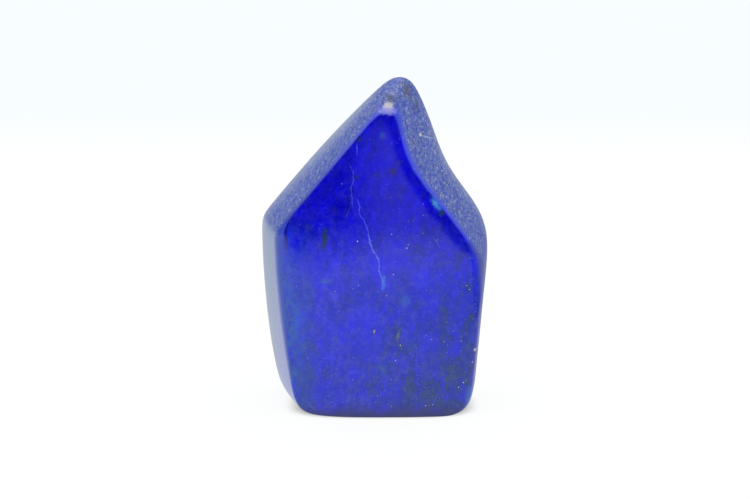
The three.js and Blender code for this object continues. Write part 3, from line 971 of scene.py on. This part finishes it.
@dataclass(frozen=True)
class Studio:
    """A lit, matt white table in a bright room. Two more things only show in the stone's polish: the dark room
    behind the camera, and the dim wall behind the table. Metres.

    Attributes:
        foot_shade: how much less the table glows right under the stone.
        wall_span: how high the walls' lower edge ends up on the left, and their upper edge.
    """

    floor_half: float = 6.0
    floor_glow: float = 0.90
    floor_colour: str = "60625E"
    far_white: str = "F6FAFD"
    horizon_strength: float = 0.97
    zenith_strength: float = 1.10
    foot_shade: float = 0.75
    card_distance: float = 0.28
    card_half_width: float = 0.60
    card_height: float = 0.50
    right_wall: tuple[tuple[float, float], ...] = ((0.14, -0.12), (0.14, 0.35))
    wall_radius: float = 1.0
    wall_turn: tuple[float, float] = (60.0, 190.0)
    wall_points: int = 40
    wall_span: tuple[float, float] = (0.03, 0.60)
    wall_glow: float = 0.35

    def room(self) -> None:
        """The bright room: a white dome that grows a little brighter from the horizon up."""
        world = bpy.data.worlds.new("white_room")
        tree = bare(world)
        way = add(tree, "TexCoord", out="Generated")
        up = add(tree, "SeparateXYZ", (way,), 2)
        strength = add(tree, "MapRange", (up, 0.0, 1.0, self.horizon_strength, self.zenith_strength))
        add(tree, "OutputWorld", {0: add(tree, "Background", {0: linear(self.far_white), 1: strength})})
        bpy.context.scene.world = world

    def sheet(self, name: str, corners: Any, faces: list[Any], material: bpy.types.Material, mirrored: bool) -> None:
        """Makes a flat or folded sheet of one material.

        Args:
            name: the sheet's name.
            corners: its corners in metres.
            faces: the corners of each of its faces.
            material: what it is made of.
            mirrored: whether it shows in reflections alone.
        """
        mesh = bpy.data.meshes.new(name)
        mesh.from_pydata(np.asarray(corners).tolist(), [], faces)
        mesh.materials.append(material)
        piece = placed(name, mesh)
        for ray in ("camera", "diffuse", "shadow", "transmission") if mirrored else ():
            setattr(piece, f"visible_{ray}", False)
        log.info("studio: %s", name)

    def table(self) -> None:
        """The table top: white acrylic lit from within, matt, and very slightly bluer far behind the stone. Its glow is
        cut right under and around the stone's foot for a painted contact shadow, and a little uneven just in front of
        the table's near edge."""
        material = bpy.data.materials.new("lit_white_acrylic")
        tree = bare(material)
        place = add(tree, "TexCoord", out="Object")
        away = add(tree, "SeparateXYZ", (place,), 1)
        far = add(tree, "MapRange", (away, 0.33, 0.50), **EASED)
        tint = {0: far, 6: linear("FFFFFF"), 7: linear(self.far_white)}
        white = add(tree, "Mix", tint, 2, data_type="RGBA")
        # Painted contact shadow: the glow falls off in a rounded oval around the stone's foot.
        foot = {0: place, "Location": (0.002, -0.0045, 0.0), "Scale": (0.0225, 0.0118, 1.0)}
        own = add(tree, "Mapping", foot, vector_type="TEXTURE")
        own = add(tree, "VectorMath", (own,), operation="ABSOLUTE")
        own = add(tree, "VectorMath", (own, (1.6, 1.6, 1.0)), operation="POWER")
        ring = add(tree, "VectorMath", (own,), "Value", operation="LENGTH")
        lit = {0: ring, 1: 0.75, 2: 1.45, 3: 1.0 - self.foot_shade, 4: 1.0}
        unshadowed_share = add(tree, "MapRange", lit, interpolation_type="SMOOTHERSTEP", clamp=False)
        sides = add(tree, "SeparateXYZ", (place,)).node.outputs
        front = add(tree, "MapRange", (sides[1], -0.085, -0.13, 0.0, -1.5))
        uneven = add(tree, "MapRange", (sides[0], -0.1, 0.1, -0.1, 0.19))
        uneven = add(tree, "Math", (uneven, front, 1.0), operation="MULTIPLY_ADD")
        level = product(tree, unshadowed_share, uneven, self.floor_glow)
        glow = add(tree, "Emission", {0: white, 1: level})
        skin = add(tree, "BsdfDiffuse", {0: linear(self.floor_colour)})
        add(tree, "OutputMaterial", {"Surface": add(tree, "AddShader", (glow, skin))})
        h = self.floor_half
        corners = ((-h, -h, 0.0), (h, -h, 0.0), (h, h, 0.0), (-h, h, 0.0))
        self.sheet("table_top", corners, [(0, 1, 2, 3)], material, mirrored=False)

    def dark_card(self) -> None:
        """The dark room behind the camera, as an upright card: bright where the table's near edge shows over it, and
        dark above, but for one soft grey figure a hand's breadth right of the middle."""
        material = bpy.data.materials.new("dark_room")
        tree = bare(material)
        place = add(tree, "TexCoord", out="Object")
        x, _, z = add(tree, "SeparateXYZ", (place,)).node.outputs
        steeper = add(tree, "MapRange", (x, -0.080, -0.050, 1.75))
        height = add(tree, "Math", (z, 0.005), operation="SUBTRACT")
        height = product(tree, height, steeper)
        ramp = add(tree, "MapRange", (height, 0.0, 0.026, 1.05, 0.0))
        shoulder = add(tree, "Math", (z, 1.45, x), operation="MULTIPLY_ADD")
        neck = add(tree, "MapRange", (z, 0.054, 0.154, 0.0, 0.085))
        shoulder = add(tree, "Math", (shoulder, neck), operation="SUBTRACT")
        figure: Any = 0.50
        for value, start, end in ((x, -0.036, 0.020), (shoulder, 0.139, 0.121), (z, 0.105, 0.080)):
            figure = product(tree, figure, add(tree, "MapRange", (value, start, end), **EASED))
        glow = add(tree, "Math", (ramp, figure), operation="ADD")
        glow = add(tree, "Math", (glow, 1.05), operation="MINIMUM")
        add(tree, "OutputMaterial", {"Surface": add(tree, "Emission", {1: glow})})
        w, y, t = self.card_half_width, -self.card_distance, self.card_height
        corners = ((-w, y, 0.0), (w, y, 0.0), (w, y, t), (-w, y, t))
        self.sheet("dark_card", corners, [(0, 1, 2, 3)], material, mirrored=True)

    def dim_wall(self) -> None:
        """The dim walls: one straight along the table's right side, then one round behind it, whose points lie
        evenly on an arc."""
        material = bpy.data.materials.new("dim_wall")
        tree = bare(material)
        light = add(tree, "Emission", {0: linear(self.far_white), 1: self.wall_glow})
        add(tree, "OutputMaterial", {"Surface": light})
        start, end = (math.radians(turn) for turn in self.wall_turn)
        turn = np.linspace(start, end, self.wall_points)
        arc = self.wall_radius * np.stack([np.cos(turn), np.sin(turn)], axis=-1)
        line = np.concatenate([self.right_wall, arc])
        n = len(line)
        low = np.column_stack([line, np.linspace(0.0, self.wall_span[0], n)])
        high = np.column_stack([line, np.full(n, self.wall_span[1])])
        faces = [(i, i + 1, n + i + 1, n + i) for i in range(n - 1)]
        self.sheet("dim_wall", np.concatenate([low, high]), faces, material, mirrored=True)

    def build(self) -> None:
        """Sets up the table, the room and what its polish mirrors."""
        self.room()
        self.table()
        self.dark_card()
        self.dim_wall()
        bpy.context.scene.view_settings.view_transform = "Standard"


@dataclass(frozen=True)
class Portrait:
    """The camera: a long lens a little above the stone, looking straight at its window.

    Attributes:
        target: the point looked at, in millimetres.
        distance: from the target, in millimetres.
        elevation: how far above the level, in degrees.
        pixels_per_mm: how large a millimetre at the target comes out.
        picture_width: width of the picture in pixels.
        sensor: sensor width in millimetres.
    """

    target: tuple[float, float, float] = (0.11, 0.0, 43.38)
    distance: float = 620.0
    elevation: float = 13.0
    pixels_per_mm: float = 3.6
    picture_width: int = 750
    sensor: float = 36.0

    def build(self) -> None:
        """Makes the camera and hands it to the scene."""
        lens = bpy.data.cameras.new("portrait_lens")
        lens.sensor_width = self.sensor
        lens.lens = self.pixels_per_mm * self.distance / self.picture_width * self.sensor
        lens.clip_start, lens.clip_end = 0.01, 50.0
        camera = placed("portrait", lens)
        tilt = math.radians(self.elevation)
        back = Vector((0.0, -math.cos(tilt), math.sin(tilt)))
        camera.location = (Vector(self.target) + back * self.distance) * MM
        camera.rotation_euler = back.to_track_quat("Z", "Y").to_euler()
        bpy.context.scene.camera = camera


def main() -> None:
    """Builds the stone, dresses it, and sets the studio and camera."""
    logging.basicConfig(level=logging.INFO, format="%(name)s: %(message)s")
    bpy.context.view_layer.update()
    stone = LapisFreeform().build()
    stone.data.materials.append(PolishedLapis().build())
    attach(stone, "root")
    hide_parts(NODE)
    log.info("stone: %d triangles", len(stone.data.polygons))
    Studio().build()
    Portrait().build()


if __name__ == "__main__":
    main()
